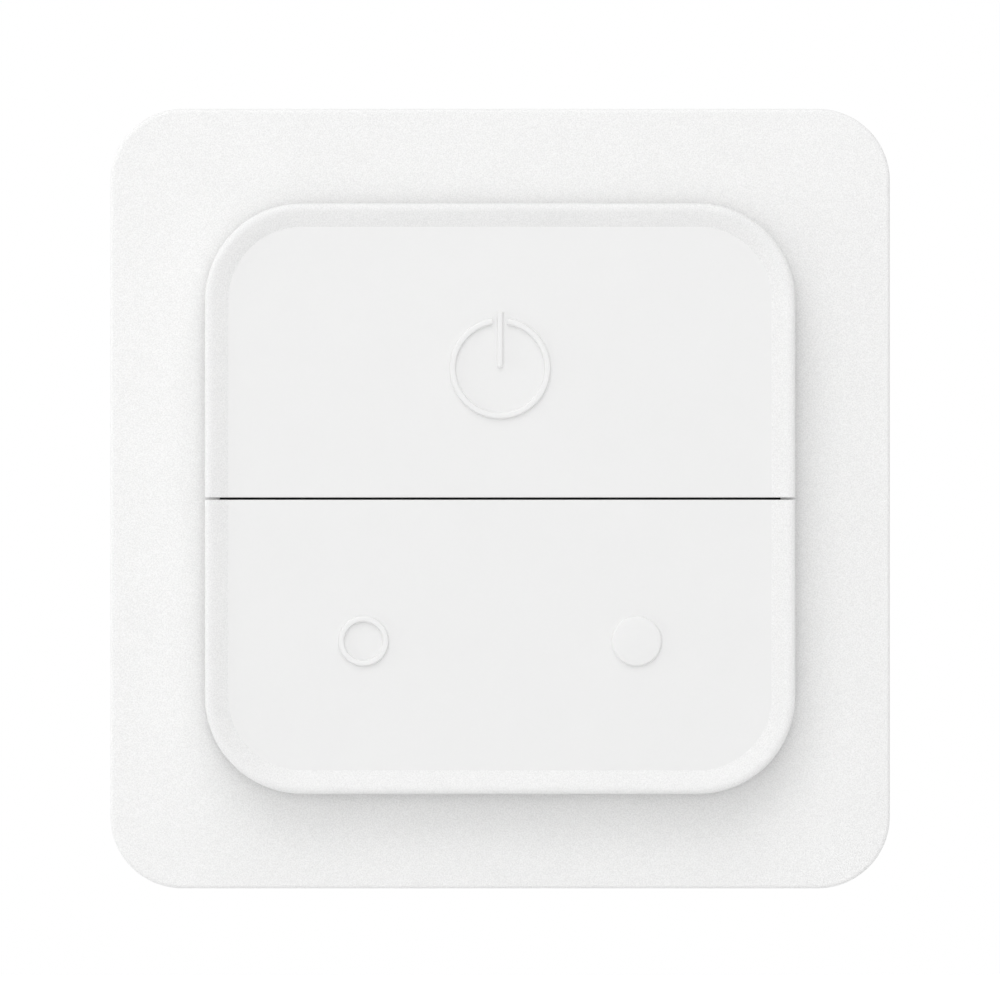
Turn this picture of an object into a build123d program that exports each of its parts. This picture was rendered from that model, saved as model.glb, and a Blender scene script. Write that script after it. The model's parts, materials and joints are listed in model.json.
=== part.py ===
from build123d import *
from math import cos, radians, sin
import os

# Battery-powered wall switch, 80 mm square. A thin frame clips onto a wall plate, and a module
# with two keys sits in the frame's opening, where magnets hold it against a steel plate.
# The upper key is pressed as a whole. The lower key rocks left and right about its middle.
#
# The pieces are modelled lying on their back: X to the right, Y up the wall and Z out of the
# wall, whose surface is Z = 0. They are then stood up, so that +Z is up the wall and the keys
# face -Y. The origin is the centre of the wall plate's back. All sizes are in millimetres.

# Frame
frame_width = 80.0
frame_corner_radius = 7.4
frame_depth = 9.0
frame_wall = 1.6
frame_edge_radius = 0.4
collar_wall = 1.2
frame_rib = 0.8
frame_rib_spacing = 11.0
frame_ribs_per_side = 5

# Wall plate, with slots for the screws of a wall box
plate_thickness = 2.0
plate_gap = 0.6
screw_spacing = 60.0
slot_length = 6.4
slot_width = 4.2
countersink = 1.4
keeper_width = 48.0
keeper_height = 28.0
keeper_thickness = 0.8
pad_width = 50.0
pad_height = 9.5
pad_thickness = 0.7
pad_offset = 20.0

# Clips that hold the frame on the wall plate, two on each side
clip_offset = 18.0
clip_length = 8.0
clip_reach = 1.0
clip_back = 0.3
clip_height = 0.8
clip_tongue = 0.8
clip_gap = 0.1

# Keys: a dished face with a raised rim, and a skirt down to the frame
key_width = 60.5
key_corner_radius = 9.95
key_wall = 1.4
key_thickness = 1.35
rim_radius = 0.5
rim_crest = 0.15
dish_slope = 1.8
dish_depth = 0.7
key_split = 0.24
split_edge = 0.08
split_rib = 1.0
split_rib_height = 1.2
skirt_gap = 0.8
stiffener = 0.8
stiffener_height = 0.7

# Rear housing of the module
housing_gap = 0.35
housing_wall = 1.5
housing_floor = 1.4
housing_edge = 0.5
opening_gap = 0.3

# Coin cell, and the well and bayonet door that hold it
cell_diameter = 20.0
cell_thickness = 3.2
cell_edge = 0.3
cell_cap_inset = 1.4
cell_cap_step = 0.2
cell_gap = 0.1
well_gap = 0.35
well_wall = 1.0
well_web = 0.8
well_board_gap = 0.3
door_recess = 0.2
door_thickness = 1.1
door_gap = 0.2
door_rim = 1.2
tab_reach = 1.6
tab_height = 1.0
tab_angle = 28.0
first_tab_place = 30.0
tab_count = 3
tab_gap = 0.1
door_turn = 40.0
notch_margin = 3.0
coin_slot_length = 13.0
coin_slot_width = 1.6
coin_slot_depth = 0.6

# Battery contacts, bent from thin strip
contact_space = 0.5
strip = 0.2
minus_length = 10.0
minus_rise = 3.0
minus_width = 4.0
plus_width = 4.0
plus_foot = 3.6
touch_gap = 0.03

# Two bar magnets in the housing floor
magnet_width = 6.0
magnet_length = 22.0
magnet_thickness = 1.6
magnet_skin = 0.6
magnet_inset = 1.5
pocket_gap = 0.1
pocket_wall = 0.8

# Circuit board and what it carries
board_thickness = 1.0
board_gap = 0.4
shield_length = 14.0
shield_width = 11.0
shield_height = 1.8
shield_wall = 0.2
shield_gap = 1.7
shield_top_inset = 6.6
chip_width = 5.0
chip_height = 0.8
chip_offset = 3.0
crystal_length = 3.2
crystal_width = 2.5
crystal_height = 0.7
crystal_offset = 4.2
capacitor_length = 1.6
capacitor_width = 0.8
capacitor_height = 0.8
capacitor_count = 5
capacitor_pitch = 2.6
capacitor_side_inset = 8.2
capacitor_top_inset = 9.6

# Push switches, one under the upper key and one under each end of the lower key
switch_width = 6.0
switch_height = 3.5
cover_thickness = 0.3
plunger_diameter = 3.4
plunger_proud = 0.8
plunger_gap = 0.08
flange_extra = 0.5
flange_height = 0.5
flange_travel = 0.35
switch_well_travel = 0.55
lead_width = 0.7
lead_strip = 0.2
lead_foot = 1.3
lead_rise = 0.9
lead_pitch = 4.5
power_switch_up = 8.0
side_switch_across = 14.0
side_switch_up = -14.6

# Key carrier, the inner lid that the keys pivot on
carrier_standoff = 2.0
carrier_thickness = 1.1
carrier_lip = 1.0
carrier_lip_height = 0.8
carrier_fit = 0.2
light_stop = 2.0
light_stop_gap = 0.1
window_gap = 0.3

# Key pivots: a pin between two lugs, snapped into an open bearing
pin_radius = 0.7
pin_clearance = 0.06
pivot_height = 1.35
bearing_length = 3.0
bearing_wall = 0.8
bearing_lip = 0.5
lug_thickness = 1.0
lug_cheek = 0.3
lug_gap = 0.15
power_pivot_side_inset = 8.85
power_pivot_top_inset = 3.85
lower_pivot_spread = 9.0

# Posts that press the plungers, and hooks that stop the upper key
post_gap = 0.05
post_height = 1.0
post_radius = 1.3
hook_inset = 9.85
hook_up = 4.0
hook_length = 4.0
hook_leg = 1.2
hook_toe = 1.0
hook_toe_height = 0.8
hook_gap = 0.05
hook_window_gap = 0.3

# Screws that close the module
screw_inset = 4.4
screw_radius = 1.0
screw_length = 6.6
screw_head_radius = 1.9
screw_head_height = 1.3
screw_head_gap = 0.2
screw_hole_gap = 0.15
pilot_radius = 0.85
boss_wall = 0.7
counterbore_depth = 1.9
screw_head_edge = 0.4

# Levels out from the wall, each resting on the one before
housing_back = plate_thickness
floor_front = housing_back + housing_floor
door_back = housing_back + door_recess
door_front = door_back + door_thickness
tab_back = floor_front + tab_gap
tab_front = tab_back + tab_height
web_back = tab_front + tab_gap
cell_back = door_front + cell_gap
cell_front = cell_back + cell_thickness
board_back = cell_front + contact_space
board_front = board_back + board_thickness
carrier_back = board_front + carrier_standoff
carrier_front = carrier_back + carrier_thickness
switch_front = board_front + switch_height
plunger_front = switch_front + plunger_proud
post_back = plunger_front + post_gap
key_underside = post_back + post_height
face_front = key_underside + key_thickness
rim_front = face_front + dish_depth
skirt_back = frame_depth + skirt_gap
pivot_level = carrier_front + pivot_height

# Widths that follow from their neighbours
key_inside = key_width - 2 * key_wall
housing_width = key_inside - 2 * housing_gap
housing_radius = key_corner_radius - key_wall - housing_gap
housing_inside = housing_width - 2 * housing_wall
housing_inside_radius = housing_radius - housing_wall
opening_width = housing_width + 2 * opening_gap
opening_radius = housing_radius + opening_gap
frame_inside = frame_width - 2 * frame_wall
plate_width = frame_inside - 2 * plate_gap
plate_radius = frame_corner_radius - frame_wall - plate_gap
door_radius = cell_diameter / 2 + door_gap + door_rim
tab_radius = door_radius + tab_reach
board_width = housing_inside - 2 * board_gap
board_radius = housing_inside_radius - board_gap

# Places on the face, each worked out from what carries the piece
screw_across = housing_inside / 2 - screw_inset
magnet_across = (keeper_width - magnet_width) / 2 - magnet_inset
shield_across = -(switch_width / 2 + lead_foot + shield_gap + shield_length / 2)
shield_up = (board_width - shield_width) / 2 - shield_top_inset
last_capacitor_across = board_width / 2 - capacitor_side_inset
capacitor_up = board_width / 2 - capacitor_top_inset
power_pivot_across = key_inside / 2 - power_pivot_side_inset
power_pivot_up = key_inside / 2 - power_pivot_top_inset
lower_pivot_up = -key_width / 4
hook_across = key_inside / 2 - hook_inset
switch_places = {
    "power": (0.0, power_switch_up),
    "dim": (-side_switch_across, side_switch_up),
    "bright": (side_switch_across, side_switch_up),
}


def rounded_square(width, radius, back, front):
    """A block with a rounded square outline between two levels."""
    return extrude(Pos(0, 0, back) * RectangleRounded(width, width, radius), front - back)


def block(width, height, back, front, across=0.0, up=0.0):
    """A rectangular block between two levels, centred on a place on the face."""
    return extrude(Pos(across, up, back) * Rectangle(width, height), front - back)


def disc(radius, back, front, across=0.0, up=0.0):
    """A round block between two levels."""
    return extrude(Pos(across, up, back) * Circle(radius), front - back)


def ring(inner, outer, back, front, across=0.0, up=0.0):
    """A round wall between two levels."""
    return disc(outer, back, front, across, up) - disc(inner, back, front, across, up)


def sector(radius, half_angle, back, front, angle):
    """A wedge of a disc, centred on an angle and reaching in to the middle."""
    far = 2 * radius
    spread = [
        (far * cos(radians(angle + side * half_angle)), far * sin(radians(angle + side * half_angle)))
        for side in (-1, 1)
    ]
    wedge = extrude(Pos(0, 0, back) * make_face(Polyline((0, 0), *spread, close=True)), front - back)
    return wedge & disc(radius, back, front)


def on_each_side(piece):
    """Copies of a piece made for the right-hand side, one on each of the four sides."""
    return [Rot(0, 0, 90 * turn) * piece for turn in range(4)]


def at_four_corners(piece, across, up):
    """Copies of a piece at four places that mirror each other."""
    return [Pos(sx * across, sy * up, 0) * piece for sy in (1, -1) for sx in (-1, 1)]


def wall_plate():
    """Moulded plate with screw slots, a seat for the steel plate and rebates for the clips."""
    plate = rounded_square(plate_width, plate_radius, 0, plate_thickness)
    slot = SlotOverall(slot_length, slot_width)
    sink = SlotOverall(slot_length + 2 * countersink, slot_width + 2 * countersink)
    slot_cut = extrude(slot, plate_thickness)
    sink_cut = loft(
        [Pos(0, 0, plate_thickness - countersink) * slot, Pos(0, 0, plate_thickness) * sink],
        ruled=True,
    )
    plate -= on_each_side(Pos(screw_spacing / 2, 0, 0) * (slot_cut + sink_cut))
    plate -= block(keeper_width, keeper_height, plate_thickness - keeper_thickness, plate_thickness)
    for side in (1, -1):
        plate -= block(pad_width, pad_height, 0, pad_thickness, up=side * pad_offset)
    rebate_depth = clip_reach - plate_gap + 2 * clip_gap
    for side in (1, -1):
        rebate = block(
            2 * rebate_depth,
            clip_length + 4 * clip_gap,
            0,
            plate_thickness - clip_tongue,
            across=plate_width / 2,
            up=side * clip_offset,
        )
        plate -= on_each_side(rebate)
    return plate


def keeper_plate():
    """Steel sheet in the wall plate, which the magnets hold on to."""
    return block(
        keeper_width - 2 * clip_gap,
        keeper_height - 2 * clip_gap,
        plate_thickness - keeper_thickness,
        plate_thickness,
    )


def adhesive_pad(side):
    """Foam pad that lies flush in the back of the wall plate."""
    return block(
        pad_width - 2 * clip_gap, pad_height - 2 * clip_gap, 0, pad_thickness, up=side * pad_offset
    )


def decor_frame():
    """Square frame: a shallow tray upside down, with a collar round its opening."""
    frame = rounded_square(frame_width, frame_corner_radius, 0, frame_depth)
    frame = fillet(frame.edges().group_by(Axis.Z)[-1], frame_edge_radius)
    panel_back = frame_depth - frame_wall
    frame -= rounded_square(frame_inside, frame_corner_radius - frame_wall, 0, panel_back)
    collar_width = opening_width + 2 * collar_wall
    frame += rounded_square(collar_width, opening_radius + collar_wall, plate_thickness, panel_back)
    channel = (frame_inside - collar_width) / 2
    rib_middle = (frame_inside + collar_width) / 4
    for place in range(frame_ribs_per_side):
        up = (place - (frame_ribs_per_side - 1) / 2) * frame_rib_spacing
        rib = block(channel, frame_rib, plate_thickness, panel_back, across=rib_middle, up=up)
        frame += on_each_side(rib)
    frame -= rounded_square(opening_width, opening_radius, 0, frame_depth)
    hook = Polyline(
        (0, clip_back),
        (-clip_reach, clip_back + clip_height / 2),
        (-clip_reach, clip_back + clip_height),
        (0, clip_back + clip_height),
        close=True,
    )
    for side in (1, -1):
        clip = extrude(Plane.XZ * make_face(hook), clip_length / 2, both=True)
        frame += on_each_side(Pos(frame_inside / 2, side * clip_offset, 0) * clip)
    return frame


def rear_housing():
    """Tub of the module, with the battery well, magnet pockets and screw bosses."""
    tub = rounded_square(housing_width, housing_radius, housing_back, carrier_back)
    tub = chamfer(tub.edges().group_by(Axis.Z)[0], housing_edge)
    tub -= rounded_square(housing_inside, housing_inside_radius, floor_front, carrier_back)
    tub += battery_well()
    notch_radius = tab_radius + tab_gap
    tub -= disc(door_radius + door_gap, housing_back, floor_front)
    for tab in range(tab_count):
        angle = tab_place(tab) - door_turn
        half = tab_angle / 2 + notch_margin
        tub -= sector(notch_radius, half, housing_back, floor_front, angle)
    magnet_back = housing_back + magnet_skin
    pocket_width = magnet_width + 2 * pocket_gap
    pocket_length = magnet_length + 2 * pocket_gap
    for side in (-1, 1):
        across = side * magnet_across
        pocket_front = magnet_back + magnet_thickness
        rim_width = pocket_width + 2 * pocket_wall
        rim_length = pocket_length + 2 * pocket_wall
        tub += block(rim_width, rim_length, floor_front, pocket_front, across)
        tub -= block(pocket_width, pocket_length, magnet_back, board_back, across)
    bore_radius = screw_head_radius + screw_head_gap
    boss = disc(bore_radius + boss_wall, housing_back, board_back)
    shaft_hole = disc(screw_radius + screw_hole_gap, housing_back, board_back)
    counterbore = disc(bore_radius, housing_back, housing_back + counterbore_depth)
    tub += at_four_corners(boss, screw_across, screw_across)
    tub -= at_four_corners(shaft_hole + counterbore, screw_across, screw_across)
    return tub


def battery_well():
    """Stepped ring: a wide part that the door's tabs turn in, and a collar that centres the cell."""
    inner = cell_diameter / 2 + well_gap
    wide = tab_radius + 2 * tab_gap
    top = board_back - well_board_gap
    well = ring(wide, wide + well_wall, floor_front, web_back + well_web)
    well += ring(inner, wide + well_wall, web_back, web_back + well_web)
    well += ring(inner, inner + well_wall, web_back, top)
    slot_reach = inner + well_wall + well_gap
    slot_back = web_back + well_web
    return well - block(plus_width + 2 * well_gap, slot_reach, slot_back, top, up=slot_reach / 2)


def tab_place(tab):
    """Angle of one of the door's tabs when the door is locked."""
    return first_tab_place + tab * 360 / tab_count


def battery_door():
    """Bayonet lid behind the coin cell, with a slot for a coin."""
    rim_inner = door_radius - door_rim
    door = disc(door_radius, door_back, door_front)
    door += ring(rim_inner, door_radius, door_front, tab_front)
    for tab in range(tab_count):
        lug = sector(tab_radius, tab_angle / 2, tab_back, tab_front, tab_place(tab))
        door += lug - disc(rim_inner, tab_back, tab_front)
    coin_slot = Pos(0, 0, door_back) * SlotOverall(coin_slot_length, coin_slot_width)
    return door - extrude(coin_slot, coin_slot_depth)


def coin_cell():
    """Lithium coin cell: the can faces the door and the smaller cap faces the board."""
    radius = cell_diameter / 2
    can = disc(radius, cell_back, cell_front - cell_cap_step)
    can = chamfer(can.edges().group_by(Axis.Z)[0], cell_edge)
    return can + disc(radius - cell_cap_inset, cell_front - cell_cap_step, cell_front)


def battery_contact_minus():
    """Strip under the board, bent down in the middle to press on the cell's cap."""
    low = cell_front + touch_gap
    end = minus_length / 2
    rise = minus_rise
    outline = Polyline(
        (-end, board_back),
        (-rise, board_back),
        (0, low + strip),
        (rise, board_back),
        (end, board_back),
        (end, board_back - strip),
        (rise, board_back - strip),
        (0, low),
        (-rise, board_back - strip),
        (-end, board_back - strip),
        close=True,
    )
    return extrude(Plane.XZ * make_face(outline), minus_width / 2, both=True)


def battery_contact_plus():
    """Angle strip under the board, whose leg presses on the side of the cell."""
    near = cell_diameter / 2 + touch_gap
    foot = block(plus_width, plus_foot, board_back - strip, board_back, up=near + plus_foot / 2)
    leg_back = web_back + well_web + tab_gap
    leg = block(plus_width, strip, leg_back, board_back, up=near + strip / 2)
    return foot + leg


def magnet(side):
    """Bar magnet in a pocket of the housing floor, left (-1) or right (1) of the battery."""
    back = housing_back + magnet_skin
    return block(magnet_width, magnet_length, back, back + magnet_thickness, side * magnet_across)


def circuit_board():
    """Board that stands on the screw bosses."""
    board = rounded_square(board_width, board_radius, board_back, board_front)
    hole = disc(screw_radius + screw_hole_gap, board_back, board_front)
    return board - at_four_corners(hole, screw_across, screw_across)


def radio_shield():
    """Tin can over the radio."""
    can = block(shield_length, shield_width, 0, shield_height)
    hollow = block(
        shield_length - 2 * shield_wall, shield_width - 2 * shield_wall, 0, shield_height - shield_wall
    )
    return Pos(shield_across, shield_up, board_front) * (can - hollow)


def radio_chip():
    """Radio and processor, in one flat package under the can."""
    front = board_front + chip_height
    return block(chip_width, chip_width, board_front, front, shield_across - chip_offset, shield_up)


def crystal():
    """Clock crystal beside the radio."""
    front = board_front + crystal_height
    across = shield_across + crystal_offset
    return block(crystal_length, crystal_width, board_front, front, across, shield_up)


def board_capacitors():
    """A row of ceramic capacitors."""
    front = board_front + capacitor_height
    return Compound(
        children=[
            block(
                capacitor_width,
                capacitor_length,
                board_front,
                front,
                last_capacitor_across - place * capacitor_pitch,
                capacitor_up,
            )
            for place in range(capacitor_count)
        ]
    )


def switch_base(across, up):
    """Moulded base of a push switch, with a well for the plunger and its flange."""
    cover_back = switch_front - cover_thickness
    well_radius = plunger_diameter / 2 + flange_extra + plunger_gap
    base = block(switch_width, switch_width, board_front, cover_back)
    well_back = cover_back - flange_travel - flange_height - switch_well_travel
    base -= disc(well_radius, well_back, cover_back)
    return Pos(across, up, 0) * base


def switch_cover(across, up):
    """Metal plate staked on the base, which keeps the plunger in."""
    cover_back = switch_front - cover_thickness
    cover = block(switch_width, switch_width, cover_back, switch_front)
    cover -= disc(plunger_diameter / 2 + plunger_gap, cover_back, switch_front)
    return Pos(across, up, 0) * cover


def switch_leads(across, up):
    """Four bent leads that stand on the board."""
    side = switch_width / 2
    lead = block(lead_foot, lead_width, board_front, board_front + lead_strip, side + lead_foot / 2)
    lead += block(lead_strip, lead_width, board_front, board_front + lead_rise, side + lead_strip / 2)
    return Compound(
        children=[
            Pos(across, up + row * lead_pitch / 2, 0) * Rot(0, 0, turn) * lead
            for row in (-1, 1)
            for turn in (0, 180)
        ]
    )


def switch_plunger(across, up):
    """Plunger of a push switch, held in by its flange."""
    flange_front = switch_front - cover_thickness - flange_travel
    flange_back = flange_front - flange_height
    plunger = disc(plunger_diameter / 2, flange_back, plunger_front)
    plunger += disc(plunger_diameter / 2 + flange_extra, flange_back, flange_front)
    return Pos(across, up, 0) * plunger


def rod(radius, length, across=0.0):
    """A round rod along X on the pivot axis, at the middle of the face."""
    return Pos(across, 0, pivot_level) * Rot(0, 90, 0) * Cylinder(radius, length)


def bearing():
    """Open bearing along X: its bore breaks out at the front, narrower than the pin snapped into it."""
    bore = pin_radius + pin_clearance
    side = 2 * (bore + bearing_wall)
    stand = block(bearing_length, side, carrier_front, pivot_level + bearing_lip)
    return stand - rod(bore, 2 * bearing_length)


def pivot():
    """Pin along X between two round-ended lugs that hang from a key's underside."""
    span = bearing_length + 2 * lug_gap
    lug_radius = pin_radius + lug_cheek
    piece = rod(pin_radius, span + lug_thickness)
    for side in (-1, 1):
        across = side * (span + lug_thickness) / 2
        piece += block(lug_thickness, 2 * lug_radius, pivot_level, key_underside, across)
        piece += rod(lug_radius, lug_thickness, across)
    return piece


def power_pivots(piece):
    """Copies of a pivot piece at both ends of the upper key's axis."""
    return [Pos(side * power_pivot_across, power_pivot_up, 0) * piece for side in (-1, 1)]


def lower_pivots(piece):
    """Copies of a pivot piece along the lower key's upright axis."""
    return [
        Pos(0, lower_pivot_up + side * lower_pivot_spread, 0) * Rot(0, 0, 90) * piece
        for side in (-1, 1)
    ]


def key_carrier():
    """Inner lid of the module: it holds the board down and carries the keys' bearings.

    A bar behind the split reaches out to the skirts, so that no light comes through there.
    """
    carrier = rounded_square(housing_width, housing_radius, carrier_back, carrier_front)
    lip_width = housing_inside - 2 * carrier_fit
    lip_radius = housing_inside_radius - carrier_fit
    lip_back = carrier_back - carrier_lip_height
    lip = rounded_square(lip_width, lip_radius, lip_back, carrier_back)
    lip -= rounded_square(lip_width - 2 * carrier_lip, lip_radius - carrier_lip, lip_back, carrier_back)
    carrier += lip
    stop_length = key_inside - 2 * light_stop_gap
    carrier += block(stop_length, light_stop, carrier_back, carrier_front)
    boss_width = 2 * (pilot_radius + 2 * boss_wall)
    boss = block(boss_width, boss_width, board_front, carrier_back)
    pilot_front = housing_back + counterbore_depth + screw_length + screw_head_gap
    pilot = disc(pilot_radius, board_front, pilot_front)
    carrier += at_four_corners(boss, screw_across, screw_across)
    carrier -= at_four_corners(pilot, screw_across, screw_across)
    window = switch_width + 2 * window_gap
    for across, up in switch_places.values():
        carrier -= block(window, window, carrier_back, carrier_front, across, up)
    hook_window = block(
        hook_length + 2 * hook_window_gap,
        hook_leg + hook_toe + 2 * hook_window_gap,
        carrier_back,
        carrier_front,
        up=hook_up - hook_toe / 2,
    )
    carrier -= [Pos(side * hook_across, 0, 0) * hook_window for side in (-1, 1)]
    carrier += power_pivots(bearing())
    carrier += lower_pivots(bearing())
    return carrier


def key_caps():
    """Both keys in one: a cap with a raised rim and a dished face, open at the back."""
    cap = rounded_square(key_width, key_corner_radius, skirt_back, rim_front)
    cap = fillet(cap.edges().group_by(Axis.Z)[-1], rim_radius)
    cap -= rounded_square(key_inside, key_corner_radius - key_wall, skirt_back, key_underside)
    crest_inset = rim_radius + rim_crest
    face_inset = crest_inset + dish_slope
    crest = RectangleRounded(
        key_width - 2 * crest_inset, key_width - 2 * crest_inset, key_corner_radius - crest_inset
    )
    face = RectangleRounded(
        key_width - 2 * face_inset, key_width - 2 * face_inset, key_corner_radius - face_inset
    )
    return cap - loft([Pos(0, 0, face_front) * face, Pos(0, 0, rim_front) * crest], ruled=True)


def half_of(cap, side):
    """The upper (1) or lower (-1) key: the cap cut at the split, with a rib along the cut."""
    middle = side * (key_split - key_width) / 2
    half = cap - block(2 * key_width, key_width, skirt_back, rim_front, up=middle)
    cut = half.faces().sort_by(Axis.Y)[0 if side > 0 else -1]
    front_edges = [edge for edge in cut.outer_wire().edges() if edge.center().Z > face_front - dish_depth]
    half = chamfer(front_edges, split_edge)
    rib_up = side * (key_split / 2 + split_rib / 2)
    return half + block(key_inside, split_rib, key_underside - split_rib_height, key_underside, up=rib_up)


def post():
    """Post under a key, over a plunger."""
    return disc(post_radius, post_back, key_underside)


def stiffener_ribs(side, spans):
    """Low ribs across a key's underside, each from one place to another on the face."""
    ribs = []
    back = key_underside - stiffener_height
    for across, low, high in spans:
        ribs.append(block(stiffener, high - low, back, key_underside, across, side * (low + high) / 2))
    return ribs


def stop_hook():
    """Hook under the upper key: a leg through the carrier, with a ramped toe that catches behind it."""
    toe_front = carrier_back - hook_gap
    back = toe_front - hook_toe_height
    outline = Polyline(
        (-hook_leg / 2, key_underside),
        (-hook_leg / 2, back),
        (hook_leg / 2, back),
        (hook_leg / 2 + hook_toe, toe_front - hook_toe_height / 2),
        (hook_leg / 2 + hook_toe, toe_front),
        (hook_leg / 2, toe_front),
        (hook_leg / 2, key_underside),
        close=True,
    )
    return Pos(0, hook_up, 0) * extrude(Plane.YZ * make_face(outline), hook_length / 2, both=True)


def power_key(cap):
    """Upper key, hinged along its top edge, with two hooks that stop it coming out."""
    key = half_of(cap, 1)
    key += power_pivots(pivot())
    key += Pos(*switch_places["power"], 0) * post()
    key += [Pos(side * hook_across, 0, 0) * stop_hook() for side in (-1, 1)]
    low = key_split / 2 + split_rib
    high = key_inside / 2
    return key + stiffener_ribs(1, [(side * hook_across / 2, low, high) for side in (-1, 1)])


def dimmer_key(cap):
    """Lower key, which rocks about an upright axis through its middle."""
    key = half_of(cap, -1)
    key += lower_pivots(pivot())
    key += Pos(*switch_places["dim"], 0) * post()
    key += Pos(*switch_places["bright"], 0) * post()
    low = key_split / 2 + split_rib
    high = key_inside / 2
    return key + stiffener_ribs(-1, [(side * side_switch_across / 2, low, high) for side in (-1, 1)])


def case_screws():
    """Four pan-head screws from the back, through housing and board into the carrier."""
    seat = housing_back + counterbore_depth
    head = disc(screw_head_radius, seat - screw_head_height, seat)
    head = chamfer(head.edges().group_by(Axis.Z)[0], screw_head_edge)
    screw = head + disc(screw_radius, seat, seat + screw_length)
    return Compound(children=at_four_corners(screw, screw_across, screw_across))


def make_pieces():
    """Every piece of the switch by name, lying on its back."""
    cap = key_caps()
    pieces = {
        "wall_plate": wall_plate(),
        "keeper_plate": keeper_plate(),
        "adhesive_pad_upper": adhesive_pad(1),
        "adhesive_pad_lower": adhesive_pad(-1),
        "decor_frame": decor_frame(),
        "rear_housing": rear_housing(),
        "battery_door": battery_door(),
        "coin_cell": coin_cell(),
        "battery_contact_minus": battery_contact_minus(),
        "battery_contact_plus": battery_contact_plus(),
        "circuit_board": circuit_board(),
        "radio_shield": radio_shield(),
        "radio_chip": radio_chip(),
        "crystal": crystal(),
        "board_capacitors": board_capacitors(),
        "key_carrier": key_carrier(),
        "power_key": power_key(cap),
        "dimmer_key": dimmer_key(cap),
        "case_screws": case_screws(),
        "magnet_left": magnet(-1),
        "magnet_right": magnet(1),
    }
    for name, place in switch_places.items():
        pieces[f"{name}_switch_base"] = switch_base(*place)
        pieces[f"{name}_switch_cover"] = switch_cover(*place)
        pieces[f"{name}_switch_leads"] = switch_leads(*place)
        pieces[f"{name}_switch_plunger"] = switch_plunger(*place)
    return pieces


os.makedirs("parts", exist_ok=True)
stand_up = Rot(90, 0, 0)
for name, piece in make_pieces().items():
    export_step(stand_up * piece, f"parts/{name}.step")
print(f"depth {rim_front:.2f}, housing {housing_width:.2f}, opening {opening_width:.2f}")
print(f"pivot level {pivot_level:.2f}, plunger front {plunger_front:.2f}, skirt back {skirt_back:.2f}")
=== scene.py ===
# %% [markdown]
# # A battery-powered wall switch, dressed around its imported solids
#
# The real switch is a thin square frame with a raised module in its middle. Two plastic keys
# cover the module: the upper one is pressed, and the lower one rocks left and right. The solids
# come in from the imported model, already in place. The lesson remakes the skins that are seen as
# finer surfaces, gives every other solid a finish, and lights the whole in a plain studio.

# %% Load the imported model
import json
import math

import bpy
import bmesh
import numpy as np
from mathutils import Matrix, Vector

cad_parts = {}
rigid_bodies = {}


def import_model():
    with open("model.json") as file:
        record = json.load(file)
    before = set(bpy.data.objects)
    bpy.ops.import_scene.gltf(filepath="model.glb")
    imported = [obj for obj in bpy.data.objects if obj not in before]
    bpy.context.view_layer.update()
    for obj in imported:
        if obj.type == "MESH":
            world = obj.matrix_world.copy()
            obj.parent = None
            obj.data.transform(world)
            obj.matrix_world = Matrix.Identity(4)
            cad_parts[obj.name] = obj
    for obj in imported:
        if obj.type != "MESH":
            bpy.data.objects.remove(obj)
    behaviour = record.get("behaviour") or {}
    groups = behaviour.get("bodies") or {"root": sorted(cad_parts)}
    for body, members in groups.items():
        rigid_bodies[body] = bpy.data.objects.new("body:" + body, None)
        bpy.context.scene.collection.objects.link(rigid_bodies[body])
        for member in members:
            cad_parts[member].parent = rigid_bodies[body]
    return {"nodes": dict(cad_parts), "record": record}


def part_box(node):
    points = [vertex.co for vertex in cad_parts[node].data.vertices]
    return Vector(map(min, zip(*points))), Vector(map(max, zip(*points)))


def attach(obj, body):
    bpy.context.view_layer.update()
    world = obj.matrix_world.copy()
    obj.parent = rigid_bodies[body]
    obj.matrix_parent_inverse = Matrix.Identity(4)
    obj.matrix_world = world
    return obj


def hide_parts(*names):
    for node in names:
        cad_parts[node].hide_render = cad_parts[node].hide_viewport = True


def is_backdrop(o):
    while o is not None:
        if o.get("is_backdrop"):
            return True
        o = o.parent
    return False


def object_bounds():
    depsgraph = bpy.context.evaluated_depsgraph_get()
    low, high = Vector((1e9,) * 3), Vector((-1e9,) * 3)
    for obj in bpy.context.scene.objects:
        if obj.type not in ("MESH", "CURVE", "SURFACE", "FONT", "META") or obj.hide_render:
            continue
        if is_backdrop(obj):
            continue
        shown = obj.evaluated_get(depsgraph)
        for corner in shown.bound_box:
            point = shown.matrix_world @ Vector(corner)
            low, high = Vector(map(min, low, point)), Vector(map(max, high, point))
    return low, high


for startup_object in list(bpy.data.objects):
    bpy.data.objects.remove(startup_object)
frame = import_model()
solids = frame["nodes"]
cad_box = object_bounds()
cad_size = (cad_box[1] - cad_box[0]) * 1000
print(f"{len(solids)} solids, {cad_size.x:.1f} x {cad_size.y:.1f} x {cad_size.z:.1f} mm")

# %% [markdown]
# ## The camera
#
# The picture is taken straight on, from so far away that the sides of the raised module don't
# show: 4 m away, an object 16 mm deep hardly changes in scale from front to back. The lens is
# then the one that makes the view as wide as the picture, measured at the front of the frame.

# %% Camera
MM = 0.001
view_width = 102.63 * MM
camera_distance = 4.0
sensor_width = 36.0
view_centre = Vector((-0.01 * MM, -9.0 * MM, -0.14 * MM))


def add_object(name, data):
    """A new object, linked to the scene."""
    item = bpy.data.objects.new(name, data)
    bpy.context.scene.collection.objects.link(item)
    return item


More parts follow.
